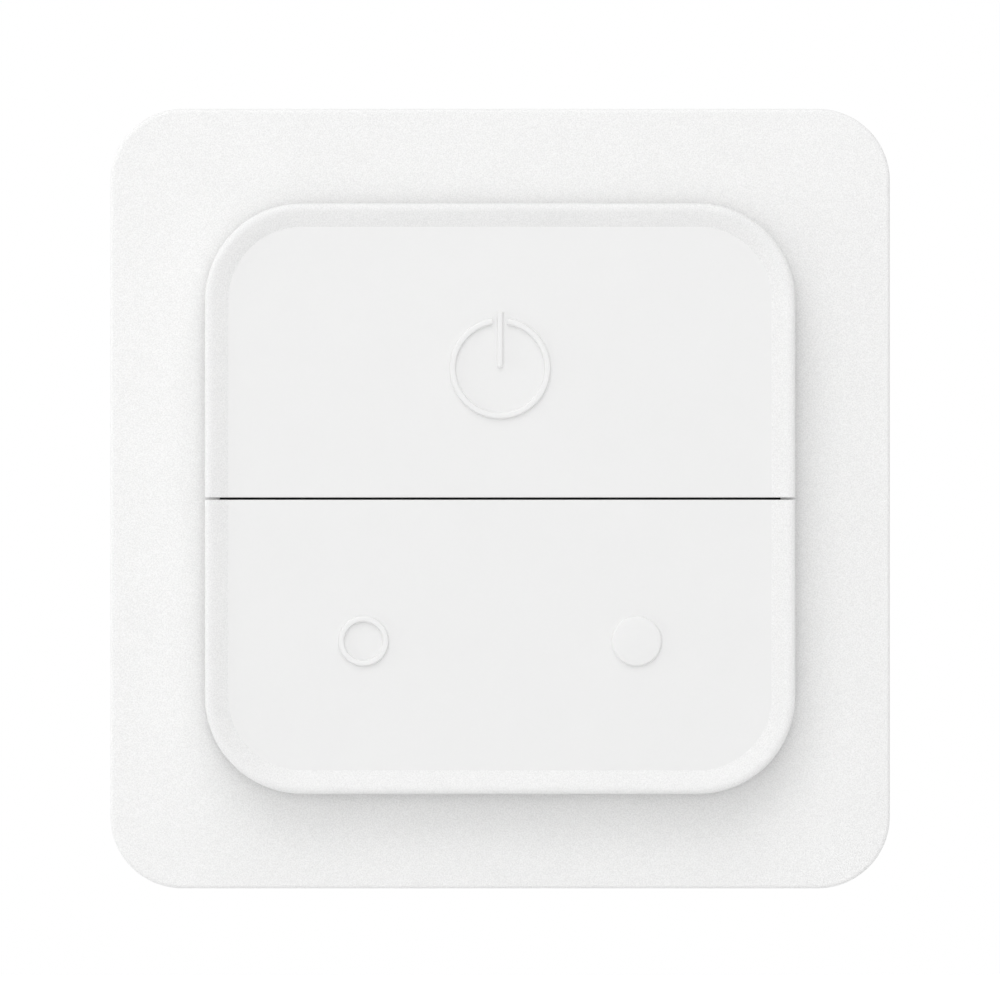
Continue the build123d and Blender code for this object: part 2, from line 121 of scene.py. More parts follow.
camera_data = bpy.data.cameras.new("camera")
camera_data.sensor_width = sensor_width
camera_data.lens = sensor_width * camera_distance / view_width
camera_data.clip_start = 0.1
camera_data.clip_end = 12.0
camera = add_object("camera", camera_data)
camera.location = view_centre - Vector((0, camera_distance, 0))
camera.rotation_euler = (math.radians(90), 0, 0)
bpy.context.scene.camera = camera
bpy.context.scene.view_settings.view_transform = "Standard"
print(f"lens {camera_data.lens:.0f} mm for a view {view_width / MM:.2f} mm wide")

# %% [markdown]
# ## Light and surroundings
#
# White plastic only shows its shape where the light is uneven. Its studio is a white room with
# large soft lamps above, in front and to the left, so that edges facing down and to the right
# turn a little grey. The room adds an even ambient light. The camera and the reflections see it
# plain white, which the light path tells apart from the light that falls on the plastic.
#
# Room and finishes are networks of nodes. One helper makes a node and fills its sockets, each
# with a constant or with a link from another node.

# %% Nodes


def add_node(tree, kind, inputs, **settings):
    """A new node in a tree, with its settings. An input that is another node's output is linked,
    and any other is a constant on the socket."""
    node = tree.nodes.new("ShaderNode" + kind)
    for setting, value in settings.items():
        setattr(node, setting, value)
    for socket, value in inputs.items():
        if isinstance(value, bpy.types.NodeSocket):
            tree.links.new(value, node.inputs[socket])
        else:
            node.inputs[socket].default_value = value
    return node


def seen_directly(tree):
    """A number that is 1 for rays from the camera, in a reflection or through glass, and 0 for
    light that falls on a surface: the three ray kinds of the light path added up, at most 1."""
    path = add_node(tree, "LightPath", {})
    seen = path.outputs["Is Camera Ray"]
    for kind in ("Is Glossy Ray", "Is Transmission Ray"):
        inputs = {0: seen, 1: path.outputs[kind]}
        seen = add_node(tree, "Math", inputs, operation="ADD", use_clamp=True).outputs[0]
    return seen


# %% Room
ambient_strength = 0.605
white = (1.0, 1.0, 1.0, 1.0)

world = bpy.data.worlds.new("white_room")
bpy.context.scene.world = world
world.use_nodes = True
room = world.node_tree
room.nodes.clear()
falling_light = add_node(room, "Background", {"Color": white, "Strength": ambient_strength})
seen_white = add_node(room, "Background", {"Color": white, "Strength": 1.0})
rooms = {0: seen_directly(room), 1: falling_light.outputs[0], 2: seen_white.outputs[0]}
which_room = add_node(room, "MixShader", rooms)
add_node(room, "OutputWorld", {"Surface": which_room.outputs[0]})
print(f"ambient light {ambient_strength:.3f}")

# %% Lamps
lamp_distance = 1.2
lamp_width = 0.9


def soft_lamp(name, azimuth, elevation, strength):
    """A square lamp that looks at the switch, from a direction given by azimuth (0 in front,
    positive to the right) and elevation in degrees. Its power is strength times pi squared times
    distance squared, so that strength 1 lights a white surface facing it to plain white."""
    around, above = math.radians(azimuth), math.radians(elevation)
    direction = Vector(
        (math.sin(around) * math.cos(above), -math.cos(around) * math.cos(above), math.sin(above))
    )
    lamp_data = bpy.data.lights.new(name, "AREA")
    lamp_data.shape = "SQUARE"
    lamp_data.size = lamp_width
    lamp_data.energy = strength * math.pi**2 * lamp_distance**2
    lamp = add_object(name, lamp_data)
    lamp.location = direction * lamp_distance
    lamp.rotation_euler = (-direction).to_track_quat("-Z", "Y").to_euler()
    lamp.visible_camera = False
    print(f"{name}: strength {strength}")


soft_lamp("front_lamp", -15, 25, 0.143)
soft_lamp("left_lamp", -88, 2, 0.317)
soft_lamp("top_lamp", 0, 45, 0.21)
soft_lamp("overhead_lamp", 0, 85, 0.08)

# %% [markdown]
# ## Building surfaces from arrays
#
# Every new piece is a surface worked out with numpy. The pieces are drawn lying on their back,
# in millimetres, as the switch lies on a bench: x across, y up the face, z out of the wall. One
# function then stands them up. A grid of points becomes quads, and several shells go into one
# mesh, whose doubles are merged and whose faces are turned outwards at the end.

# %% Points and grids


def stand_up(flat):
    """Lying points in millimetres become upright points in metres: across stays, out of the wall
    becomes minus y, and up the face becomes z."""
    across, up, out = np.moveaxis(np.asarray(flat, float), -1, 0)
    return np.stack([across, -out, up], axis=-1) * MM


def grid_shell(points, close_rows=False, close_columns=False, caps=()):
    """One shell from a grid of points shaped rows by columns by 3, with a quad from each point to
    the next in its row and column. A closed direction joins its last line to its first. A cap is
    a list of point numbers that closes an open end with one flat face."""
    rows, columns = points.shape[:2]
    row, column = np.meshgrid(
        np.arange(rows if close_rows else rows - 1),
        np.arange(columns if close_columns else columns - 1),
        indexing="ij",
    )
    next_row, next_column = (row + 1) % rows, (column + 1) % columns
    corners = ((row, column), (next_row, column), (next_row, next_column), (row, next_column))
    quads = np.stack([down * columns + along for down, along in corners], axis=-1)
    return points.reshape(-1, 3), quads.reshape(-1, 4).tolist() + [list(cap) for cap in caps]


up_the_face = stand_up([0, 1, 0])
print("one millimetre up the face is", up_the_face, "in metres")

# %% From shells to a piece
merge_distance = 0.002 * MM
smooth_below = math.radians(32)
pick_margin = 0.01


def read_all(items, what, width, kind=float):
    """One property of all the points, edges or faces of a mesh as an array, a row for each."""
    values = np.empty(len(items) * width, kind)
    items.foreach_get(what, values)
    return values.reshape(-1, width)


def make_piece(name, shells, material, body, replaces=(), pick=None):
    """Shells become one finished piece: points standing up, doubles merged, faces turned outwards,
    shading smooth where faces meet at a small angle. pick gives each face's material number from
    the faces' middles, in lying millimetres."""
    points, faces = [], []
    for shell_points, shell_faces in shells:
        shift = sum(len(done) for done in points)
        points.append(shell_points)
        faces += [[corner + shift for corner in face] for face in shell_faces]
    mesh = bpy.data.meshes.new(name)
    mesh.from_pydata(stand_up(np.concatenate(points)), [], faces)
    work = bmesh.new()
    work.from_mesh(mesh)
    bmesh.ops.remove_doubles(work, verts=work.verts, dist=merge_distance)
    bmesh.ops.dissolve_degenerate(work, edges=work.edges, dist=merge_distance)
    bmesh.ops.recalc_face_normals(work, faces=work.faces)
    work.to_mesh(mesh)
    work.free()
    mesh.shade_smooth()
    mesh.set_sharp_from_angle(angle=smooth_below)
    for finish in material if isinstance(material, list) else [material]:
        mesh.materials.append(finish)
    if pick is not None:
        across, back, up = read_all(mesh.polygons, "center", 3).T / MM
        lying = np.stack([across, up, -back], axis=-1)
        mesh.polygons.foreach_set("material_index", pick(lying).astype(np.int32))
    piece = add_object(name, mesh)
    even_shading = piece.modifiers.new("even_shading", "WEIGHTED_NORMAL")
    even_shading.keep_sharp = True
    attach(piece, body)
    if replaces:
        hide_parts(*replaces)
    print(f"{name}: {len(mesh.vertices)} points, {len(mesh.polygons)} faces")
    return piece


# %% [markdown]
# ## Finishes
#
# Moulded plastic is never perfectly even. The steel mould is etched to a fine grain, which takes
# the shine off, and the colour varies a little in patches. The pits of the grain also get painted
# shade: a colour a little darker there and lighter on the tops. All of it comes from noise read at
# Object coordinates, so the pattern stays on the piece when it moves. Numbers that are the same
# everywhere, such as the index of refraction, are set on the shader itself.

# %% Noise and colour


def start_finish(name, **sockets):
    """A new material, its node tree, and its shader with constants on the shader's own sockets."""
    finish = bpy.data.materials.new(name)
    finish.use_nodes = True
    tree = finish.node_tree
    shader = tree.nodes["Principled BSDF"]
    for socket, value in sockets.items():
        shader.inputs[socket.replace("_", " ")].default_value = value
    return finish, tree, shader


def noise_at(tree, size, detail=2.0, stretch=(1.0, 1.0, 1.0)):
    """Noise over Object coordinates, with features of a size in millimetres. stretch squeezes the
    pattern along each axis, as brushing does."""
    place = add_node(tree, "TexCoord", {}).outputs["Object"]
    stretched = add_node(tree, "Mapping", {"Vector": place, "Scale": stretch}).outputs["Vector"]
    inputs = {"Vector": stretched, "Scale": 1 / (size * MM), "Detail": detail}
    return add_node(tree, "TexNoise", inputs).outputs["Fac"]


def vary(tree, source, low, high):
    """Turns noise of 0 to 1 into a range: low plus noise times the difference, over the middle
    half of the noise, where nearly all of it lies."""
    inputs = {"Value": source, "From Min": 0.25, "From Max": 0.75, "To Min": low, "To Max": high}
    return add_node(tree, "MapRange", inputs).outputs["Result"]


def tint(tree, noise, first, second):
    """Mixes two colours by a noise, again over its middle half."""
    inputs = {0: vary(tree, noise, 0, 1), 6: (*first, 1), 7: (*second, 1)}
    return add_node(tree, "Mix", inputs, data_type="RGBA").outputs[2]


def cover(tree, shader, colour, noise, roughness, swing, depth):
    """Gives the shader a colour, a roughness that goes up and down by the swing with a noise, and
    a surface raised by the noise times a depth in millimetres, as bump."""
    bump = add_node(tree, "Bump", {"Height": noise, "Distance": depth * MM})
    rough = vary(tree, noise, roughness - swing, roughness + swing)
    tree.links.new(colour, shader.inputs["Base Color"])
    tree.links.new(rough, shader.inputs["Roughness"])
    tree.links.new(bump.outputs["Normal"], shader.inputs["Normal"])


# %% Plastics


def moulded_plastic(
    name, colour, roughness, grain, depth, pit_shade, swing=0.05, patch=6.0, drift=0.008
):
    """Etched plastic: colour drifts over patches, and painted shade makes it darker in the pits of the
    grain and lighter on its tops, which roughness and bump follow too. The colour is a mix by
    patches of one minus and one plus the drift, times one plus or minus the painted shade."""
    finish, tree, shader = start_finish(name, IOR=1.5, Specular_IOR_Level=0.5)
    darker, lighter = (np.array(colour) * (1 + sign * drift) for sign in (-1, 1))
    patched = tint(tree, noise_at(tree, patch), darker, lighter)
    fine = noise_at(tree, grain, detail=1.0)
    # Painted shade: the colour is darker in the pits of the grain and lighter on its tops, as the bump
    # is.
    factor = vary(tree, fine, 1 - pit_shade, 1 + pit_shade)
    pit_shaded = add_node(tree, "VectorMath", {0: patched, "Scale": factor}, operation="SCALE")
    cover(tree, shader, pit_shaded.outputs[0], fine, roughness, swing, depth)
    return finish


frame_white = (0.905, 0.905, 0.902)
key_white = (0.867, 0.867, 0.865)
housing_white = (0.88, 0.88, 0.872)
# The carrier is black as painted shade: seen through the split between the keys, it makes the gap read
# as a dark shadow line.
carrier_shade_black = (0.03, 0.031, 0.033)
# For each plastic, the value after the bump's depth is its painted shade in the pits of the grain.
frame_plastic = moulded_plastic("frame_plastic", frame_white, 0.55, 0.13, 0.032, 0.085)
key_grain = moulded_plastic("key_rim_grain", key_white, 0.5, 0.13, 0.028, 0.08)
key_satin = moulded_plastic("key_face_satin", key_white, 0.24, 0.3, 0.001, 0.003, 0.02, drift=0.004)
sign_plastic = moulded_plastic("sign_plastic", key_white, 0.36, 0.3, 0.001, 0.004)
housing_plastic = moulded_plastic("housing_plastic", housing_white, 0.5, 0.25, 0.01, 0.02)
carrier_plastic = moulded_plastic("carrier_plastic", carrier_shade_black, 0.5, 0.2, 0.01, 0.05)
plastics = (frame_plastic, key_grain, key_satin, sign_plastic, housing_plastic, carrier_plastic)
print("plastics:", ", ".join(plastic.name for plastic in plastics))

# %% Metals and other matter
metal_dark = 0.9
metal_swing = 0.08
matter_swing = 0.07


def metal(name, colour, roughness, size, stretch, depth):
    """Metal whose brushing or rolling shows as noise stretched along one axis."""
    finish, tree, shader = start_finish(name, Metallic=1.0)
    lines = noise_at(tree, size, 3.0, stretch)
    tone = tint(tree, lines, np.array(colour) * metal_dark, colour)
    cover(tree, shader, tone, lines, roughness, metal_swing, depth)
    return finish


def plain_finish(name, first, second, roughness, size, depth):
    """A rough matter whose colour runs between two tones with the noise."""
    finish, tree, shader = start_finish(name, IOR=1.5)
    mottle = noise_at(tree, size, 4.0)
    tone = tint(tree, mottle, first, second)
    cover(tree, shader, tone, mottle, roughness, matter_swing, depth)
    return finish


# %% [markdown]
# ## The decor frame
#
# The frame is one moulding: a flat front with softly rounded edges, a thin wall all round, and a
# collar round its opening. It could be cut from a block, but the real thing is one section that
# runs round the square, and so is this. The section is a closed list of points, each with its
# own half width and corner radius, and each of them is carried round a rounded square.

# %% A section carried round a square


def corner_walk(steps):
    """Signs and directions along a rounded square, anticlockwise from the right: at each of the
    four corners the sign stays and the direction turns by 90 degrees."""
    turn = np.radians(np.linspace(0, 90, steps + 1))
    angle = (np.radians([[0], [90], [180], [270]]) + turn).reshape(-1)
    signs = np.repeat(np.array([(1, 1), (-1, 1), (-1, -1), (1, -1)], float), steps + 1, axis=0)
    return signs, np.stack([np.cos(angle), np.sin(angle)], axis=-1)


def round_square_sweep(section, signs, directions):
    """Each section point (half width, corner radius, level) goes round a rounded square: place =
    sign times (half width minus radius) plus direction times radius, at its own level."""
    section = np.asarray(section, float)
    half, radius, level = section[None, :, 0], section[None, :, 1], section[None, :, 2]
    across = signs[:, None, 0] * (half - radius) + directions[:, None, 0] * radius
    up = signs[:, None, 1] * (half - radius) + directions[:, None, 1] * radius
    return np.stack([across, up, np.broadcast_to(level, across.shape)], axis=-1)


def set_in(half, corner, *points):
    """Section points that lie inside a square's outline by an inset, each at a level."""
    return [(half - inset, corner - inset, level) for inset, level in points]


def rounded_edge(half, corner, level, edge, steps):
    """Section points over a rounded outer edge that ends on top at this level: the inset is edge
    times one minus cosine, and the level sinks by edge times one minus sine."""
    turn = np.radians(np.linspace(0, 90, steps + 1))
    insets, levels = edge * (1 - np.cos(turn)), level - edge * (1 - np.sin(turn))
    return np.array(set_in(half, corner, *zip(insets, levels)))


corner_steps = 24
all_signs, all_directions = corner_walk(corner_steps)
print(f"{len(all_signs)} places along the outline")

# %% Frame skin
frame_low, frame_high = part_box("decor_frame")
frame_half = (frame_high.x - frame_low.x) / 2 / MM
frame_front = -frame_low.y / MM
frame_corner = 7.4
frame_edge = 0.4
frame_wall = 1.6
opening_half = 28.8
opening_corner = 8.5
opening_edge = 0.12
collar_wall = 1.2
collar_back = 2.0
panel_back = frame_front - frame_wall
back_edge = 0.1

opening_section = rounded_edge(-opening_half, -opening_corner, frame_front, opening_edge, steps=4)[::-1]
opening_section[:, :2] *= -1
frame_section = np.concatenate(
    [
        set_in(frame_half, frame_corner, (back_edge, 0), (0, back_edge)),
        rounded_edge(frame_half, frame_corner, frame_front, frame_edge, steps=10),
        opening_section,
        set_in(opening_half, opening_corner, (0, collar_back)),
        set_in(opening_half, opening_corner, (-collar_wall, collar_back), (-collar_wall, panel_back)),
        set_in(frame_half, frame_corner, (frame_wall, panel_back), (frame_wall, 0)),
    ]
)
skin_grid = round_square_sweep(frame_section, all_signs, all_directions)
frame_shell = grid_shell(skin_grid, close_rows=True, close_columns=True)
make_piece(
    "decor_frame_skin", [frame_shell], frame_plastic, "wall_unit", ["decor_frame"]
)

# %% [markdown]
# Behind its front the real frame has short ribs, which keep the flat panel from sinking in as it
# cools, and two clips on each side, with a ramp that snaps behind the wall plate. They are plain
# prisms, made once for the right-hand side and turned to the three others.

# %% Prisms


def capped_shell(points):
    """A grid that closes round its columns, with a flat cap on its first row and on its last."""
    rows, columns = points.shape[:2]
    caps = (range(columns), range((rows - 1) * columns, rows * columns))
    return grid_shell(points, close_columns=True, caps=caps)


def prism(outline, start, end, axis=2, at=(0.0, 0.0, 0.0)):
    """A flat outline carried straight along an axis, closed at both ends. The outline's two
    numbers go to the two other axes in cyclic order, and the whole is moved to a place."""
    points = np.zeros((2, len(outline), 3))
    points[..., [(axis + 1) % 3, (axis + 2) % 3]] = outline
    points[0, :, axis], points[1, :, axis] = start, end
    return capped_shell(points + np.asarray(at))


def rectangle(width, height, across=0.0, up=0.0):
    """Four corners of a rectangle round a middle: the middle plus or minus half of each side."""
    signs = np.array([(1, 1), (-1, 1), (-1, -1), (1, -1)])
    return np.array([across, up]) + signs * np.array([width, height]) / 2


print(f"a prism on a rectangle has {len(prism(rectangle(1, 1), 0, 1)[1])} faces")

# %% Frame ribs and clips
rib_width = 0.8
rib_spacing = 11.0
ribs_per_side = 5
clip_places = (-18.0, 18.0)
clip_half_length = 4.0
overlap = 0.1
clip_outline = [(0, 0.3), (-1.0, 0.7), (-1.0, 1.1), (0, 1.1), (0.2, 1.1), (0.2, 0.3)]


def turned(shell, quarters):
    """A lying shell turned about the middle by 0 to 3 quarters: across and up change places with
    a sign."""
    points, faces = shell
    cosine, sine = [(1, 0), (0, 1), (-1, 0), (0, -1)][quarters]
    return points @ np.array([(cosine, sine, 0), (-sine, cosine, 0), (0, 0, 1)], float), faces


inner_half = frame_half - frame_wall
collar_half = opening_half + collar_wall
rib_length = inner_half - collar_half + 2 * overlap
rib_run = rectangle(rib_length, rib_width, (inner_half + collar_half) / 2)
rib_ups = [(place - (ribs_per_side - 1) / 2) * rib_spacing for place in range(ribs_per_side)]
side_shells = [prism(rib_run + [0, up], collar_back, panel_back + overlap) for up in rib_ups]
clip_section = np.array(clip_outline)[:, ::-1] + [0, inner_half]
side_shells += [
    prism(clip_section, place - clip_half_length, place + clip_half_length, axis=1)
    for place in clip_places
]
rib_shells = [turned(shell, quarter) for quarter in range(4) for shell in side_shells]
make_piece(
    "decor_frame_ribs", rib_shells, frame_plastic, "wall_unit", ["decor_frame"]
)

# %% [markdown]
# ## The keys
#
# Each key is half of one cap: a skirt, a rim that rolls over at the top, a face that lies a
# little deeper, and between them a slope. The slope isn't quite a straight bevel: it leaves the
# rim gently and grows a little steeper towards the face, so its level follows a power just above
# 1 of the way across. The section runs from the middle of the underside round the skirt to the
# middle of the face, so one grid makes the whole closed key but for its flat cut.

# %% Key section
key_low, key_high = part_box("power_key")
key_half = (key_high.x - key_low.x) / 2 / MM
rim_front = -key_low.y / MM
key_corner = 9.95
key_wall = 1.4
skirt_back = 9.8
skirt_edge = 0.15
key_underside = 13.45
rim_edge = 0.5
slope_start = 0.68
face_inset = 2.45
dish_depth = 0.7
slope_steps = 14
slope_power = 1.15
half_split = 0.12
face_front = rim_front - dish_depth

# Level of the slope = the rim's minus the dish's depth times the way across to the power.
way_across = np.linspace(0, 1, slope_steps + 1)
slope_insets = slope_start + (face_inset - slope_start) * way_across
slope_levels = rim_front - dish_depth * way_across**slope_power
skirt = [(key_wall, key_underside), (key_wall, skirt_back), (skirt_edge, skirt_back)]
key_section = np.concatenate(
    [
        set_in(key_half, key_corner, *skirt, (0, skirt_back + skirt_edge)),
        rounded_edge(key_half, key_corner, rim_front, rim_edge, steps=12),
        set_in(key_half, key_corner, *zip(slope_insets, slope_levels)),
    ]
)
print(f"key {2 * key_half:.2f} mm wide, face {rim_front - face_front:.2f} mm below the rim")

# %% Half caps
spine_reach = 0.8
fill_steps = 6


def half_cap(side):
    """The cap above (1) or below (-1) the split. The sweep starts and ends on the cut, and each
    end of the section then runs on to a spine along the cut: point = edge + way times (spine -
    edge), where a spine point's place across is the edge's times the spine's reach."""
    signs, directions = all_signs[: 2 * corner_steps + 2], all_directions[: 2 * corner_steps + 2]
    swept = round_square_sweep(key_section, signs, directions)
    first, last = swept[0].copy(), swept[-1].copy()
    first[:, 1] = last[:, 1] = half_split
    swept = np.concatenate([first[None], swept, last[None]])
    way = np.linspace(0, 1, fill_steps + 1)[1:, None]

    def inwards(edge):
        spine = edge * [spine_reach, 0, 1] + [0, half_split, 0]
        return edge[:, None] + way[None] * (spine - edge)[:, None]

    under, over = inwards(swept[:, 0])[:, ::-1], inwards(swept[:, -1])
    points = np.concatenate([under, swept, over], axis=1)
    rows, columns = points.shape[:2]
    number = np.arange(rows * columns).reshape(rows, columns)
    cut = np.concatenate([number[0], number[1:, -1], number[-1, -2::-1], number[-2:0:-1, 0]])
    points[..., 1] *= side
    return grid_shell(points, caps=[cut])


print(f"{2 * corner_steps + 4} rows of {len(key_section) + 2 * fill_steps} points in each cap")

# %% Edge of the split
split_edge = 0.08
cut_reach = 0.004
softened_above = 0.5


def soften_split(piece, side):
    """Gives the front edges of the cut a small bevel: those whose two ends lie on the cut and
    above the dish's floor by level."""
    mesh = piece.data
    places = read_all(mesh.vertices, "co", 3) / MM
    ends = read_all(mesh.edges, "vertices", 2, int)
    on_cut = np.abs(places[:, 2] - side * half_split) < cut_reach
    in_front = -places[:, 1] > key_underside + softened_above
    wanted = (on_cut & in_front)[ends].all(axis=1)
    weight = mesh.attributes.new("bevel_weight_edge", "FLOAT", "EDGE")
    weight.data.foreach_set("value", wanted.astype(np.float32))
    bevel = piece.modifiers.new("split_edge", "BEVEL")
    bevel.width = split_edge * MM
    bevel.segments = 2
    bevel.limit_method = "WEIGHT"
    bevel.use_clamp_overlap = False
    piece.modifiers.move(len(piece.modifiers) - 1, 0)
    print(f"{piece.name}: {int(wanted.sum())} edges softened")


def face_or_rim(middles):
    """0 for the grained rim, slope and skirt, and 1 for the satin face: inside the slope's end
    and no deeper than the face."""
    reach = key_half - key_corner
    beyond = np.maximum(np.abs(middles[:, :2]) - reach, 0)
    inset = key_corner - np.hypot(beyond[:, 0], beyond[:, 1])
    return (inset > face_inset) & (middles[:, 2] > face_front - pick_margin)


for key, side in (("power_key", 1), ("dimmer_key", -1)):
    shells, looks = [half_cap(side)], [key_grain, key_satin]
    cap = make_piece(f"{key}_cap", shells, looks, key, [key], pick=face_or_rim)
    soften_split(cap, side)

# %% [markdown]
# Under its cap each key carries what makes it work: pins between round-ended lugs, which snap
# into open bearings, a post over each push switch, low ribs, and on the upper key two ramped
# hooks that keep it from swinging out. They repeat the solids' sizes and reach a tenth of a
# millimetre into the cap, so that each key is one moulding.

# %% Key fittings
pivot_level = 12.55
pin_radius = 0.7
lug_radius = 1.0
lug_thickness = 1.0
lug_span = 3.3
post_radius = 1.3
post_back = 12.45
sunk = 0.1
rib_height = 0.7
rib_thickness = 0.8
split_rib = 1.0
split_rib_height = 1.2
hook_toe_front = 10.05
hook_toe_height = 0.8
hook_toe = 1.0
hook_leg_half = 0.6
hook_half_width = 2.0


def circle(radius, steps=48):
    """Points on a circle: radius times cosine and sine of equal angles."""
    angle = np.linspace(0, 2 * np.pi, steps, endpoint=False)
    return radius * np.stack([np.cos(angle), np.sin(angle)], axis=-1)


def pivot(across, up, upright=False):
    """A pin along x, or along y where the axis is upright, and its two lugs. Seen along the pin, a
    lug is a half circle round the pin's middle, with straight sides up to the underside."""
    turn = np.linspace(np.pi, 2 * np.pi, 17)
    arc = lug_radius * np.stack([np.cos(turn), np.sin(turn)], axis=-1) + [0, pivot_level]
    lug = [*arc, (lug_radius, key_underside + sunk), (-lug_radius, key_underside + sunk)]
    end, half = (lug_span + lug_thickness) / 2, lug_thickness / 2
    shells = [prism(circle(pin_radius, steps=32) + [0, pivot_level], -end, end, axis=0)]
    shells += [prism(lug, place - half, place + half, axis=0) for place in (-end, end)]
    if upright:
        shells = [turned(shell, 1) for shell in shells]
    return [(points + [across, up, 0], faces) for points, faces in shells]


def post(across, up):
    """A round post from just above a plunger into the underside."""
    return prism(circle(post_radius) + [across, up], post_back, key_underside + sunk)


def rib(across, low, high, height=rib_height, width=rib_thickness):
    """A low rib on the underside between two places up the face."""
    run = rectangle(width, high - low, across, (low + high) / 2)
    return prism(run, key_underside - height, key_underside + sunk)


def stop_hook(across, up):
    """A leg through the carrier with a toe that catches behind it, seen along x."""
    top, back = key_underside + sunk, hook_toe_front - hook_toe_height
    tip = hook_leg_half + hook_toe
    outline = [(-hook_leg_half, top), (-hook_leg_half, back), (hook_leg_half, back)]
    outline += [(tip, hook_toe_front - hook_toe_height / 2), (tip, hook_toe_front)]
    outline += [(hook_leg_half, hook_toe_front), (hook_leg_half, top)]
    return prism(outline, -hook_half_width, hook_half_width, axis=0, at=(across, up, 0))


print(f"pins {key_underside - pivot_level:.2f} mm behind the underside")

# %% Fittings of the upper key
ribs_low, ribs_high = half_split + split_rib - sunk, key_half - key_wall + sunk
split_rib_size = (split_rib_height, 2 * ribs_high)
power_pivots = ((-20, 25), (20, 25))
power_hooks = ((-19, 4), (19, 4))
power_post = (0, 8)
power_ribs = (-9.5, 9.5)
power_fittings = [shell for place in power_pivots for shell in pivot(*place)]
power_fittings += [post(*power_post), rib(0, half_split, half_split + split_rib, *split_rib_size)]
power_fittings += [stop_hook(*place) for place in power_hooks]
power_fittings += [rib(across, ribs_low, ribs_high) for across in power_ribs]
make_piece("power_key_fittings", power_fittings, key_grain, "power_key", ["power_key"])

# %% Fittings of the lower key
dimmer_axis_up = -15.125
dimmer_pivot_offset = 9
dimmer_posts = ((-14, -14.6), (14, -14.6))
dimmer_ribs = (-7, 7)
dimmer_fittings = pivot(0, dimmer_axis_up + dimmer_pivot_offset, upright=True)
dimmer_fittings += pivot(0, dimmer_axis_up - dimmer_pivot_offset, upright=True)
dimmer_fittings += [post(*place) for place in dimmer_posts]
dimmer_fittings += [rib(0, -half_split - split_rib, -half_split, *split_rib_size)]
dimmer_fittings += [rib(across, -ribs_high, -ribs_low) for across in dimmer_ribs]
make_piece(
    "dimmer_key_fittings", dimmer_fittings, key_grain, "dimmer_key", ["dimmer_key"]
)

# %% [markdown]
# ## The signs
#
# The signs are moulded in the same white plastic as the keys and show only by their edges. Each
# stands half a millimetre proud of the face, a little less than the rim does. A ring and a bar
# are made alike: a low domed section, as wide as the stroke, carried along a path. The open ring
# and the bar together are the common sign for on and off. The full dot is a set of rings one
# inside the other, which rise over its rolled edge.

# %% Domed strokes
sign_height = 0.48
sign_foot = 0.05
dome_steps = 16
dome_power = 5.0
tip_reach = 0.92
quarter_turn = np.linspace(0, np.pi / 2, 9)


def dome(width, rise):
    """The section of a stroke: across is half the width times the sine of equal angles, and the
    lift is one minus the relative distance from the middle to the dome's power, square rooted.
    Two more points sink the foot into what carries the stroke."""
    side = np.sin(np.linspace(-np.pi / 2, np.pi / 2, dome_steps + 1))
    lift = np.sqrt(1 - np.abs(side) ** dome_power)
    foot = -sign_foot / abs(rise)
    return np.append(side, (1, -1)) * width / 2, np.append(lift, (foot, foot))


def round_end(middle, sideways, width):
    """Middles and shrink factors past the end of a path: the way on is half the width times the
    sine of an angle, and the section shrinks with its cosine."""
    turn = quarter_turn[1:] * tip_reach
    ahead = np.array([-sideways[1], sideways[0]])
    return middle + ahead * (np.sin(turn) * width / 2)[:, None], np.cos(turn)


def stroke(middle, sideways, width, base, rise, closed=False, round_tip=False):
    """A domed section along a path: point = middle + across times sideways, at the base's level
    plus lift times rise. A negative rise stands out at the back. Both the width and the lift
    shrink over a round tip, which ends the path."""
    shrink = np.ones(len(middle))
    if round_tip:
        tip, tip_shrink = round_end(middle[-1], sideways[-1], width)
        sideways = np.concatenate([sideways, np.repeat(sideways[-1:], len(tip), axis=0)])
        middle, shrink = np.concatenate([middle, tip]), np.append(shrink, tip_shrink)
    across, lift = dome(width, rise)
    lift = np.where(lift > 0, lift * np.sqrt(shrink)[:, None], lift)
    points = middle[:, None] + sideways[:, None] * (shrink[:, None] * across)[..., None]
    points = np.concatenate([points, (base + lift * rise)[..., None]], axis=-1)
    if closed:
        return grid_shell(points, close_rows=True, close_columns=True)
    return capped_shell(points)


print(f"the section of a stroke has {len(dome(1, 1)[0])} points")

# %% Paths


def arc_path(centre, radius, start, end, steps):
    """Middles on an arc and their outward directions, between two angles in degrees."""
    turn = np.radians(np.linspace(start, end, steps + 1))
    outward = np.stack([np.cos(turn), np.sin(turn)], axis=-1)
    return np.asarray(centre) + radius * outward, outward


def straight(start, end, points=2):
    """Middles on a straight path, and its direction turned a quarter as sideways."""
    middles = np.linspace(start, end, points)
    ahead = (middles[1] - middles[0]) / np.hypot(*(middles[1] - middles[0]))
    return middles, np.repeat(np.array([(ahead[1], -ahead[0])]), points, axis=0)


# %% Power sign
power_centre = (0.0, 13.36)
power_outer, power_inner = 5.2, 4.53
power_gap = 1.57
bar_width = 0.62
bar_top, bar_bottom = 19.13, 13.38

ring_middle = (power_outer + power_inner) / 2
ring_width = power_outer - power_inner
half_gap = math.degrees(math.asin(power_gap / 2 / ring_middle))
ring_path = arc_path(power_centre, ring_middle, 90 + half_gap, 450 - half_gap, steps=120)
bar_path = straight((0, bar_top), (0, bar_bottom + bar_width / 2), points=12)
power_sign = [
    stroke(*ring_path, ring_width, face_front, sign_height),
    stroke(*bar_path, bar_width, face_front, sign_height, round_tip=True),
]
make_piece("power_sign", power_sign, sign_plastic, "power_key")

# %% Dimmer signs
sign_across, sign_up = 14.0, -14.6
small_outer, small_inner = 2.6, 1.95
dot_radius = 2.6
dot_edge = 0.22
pole_radius = 0.02


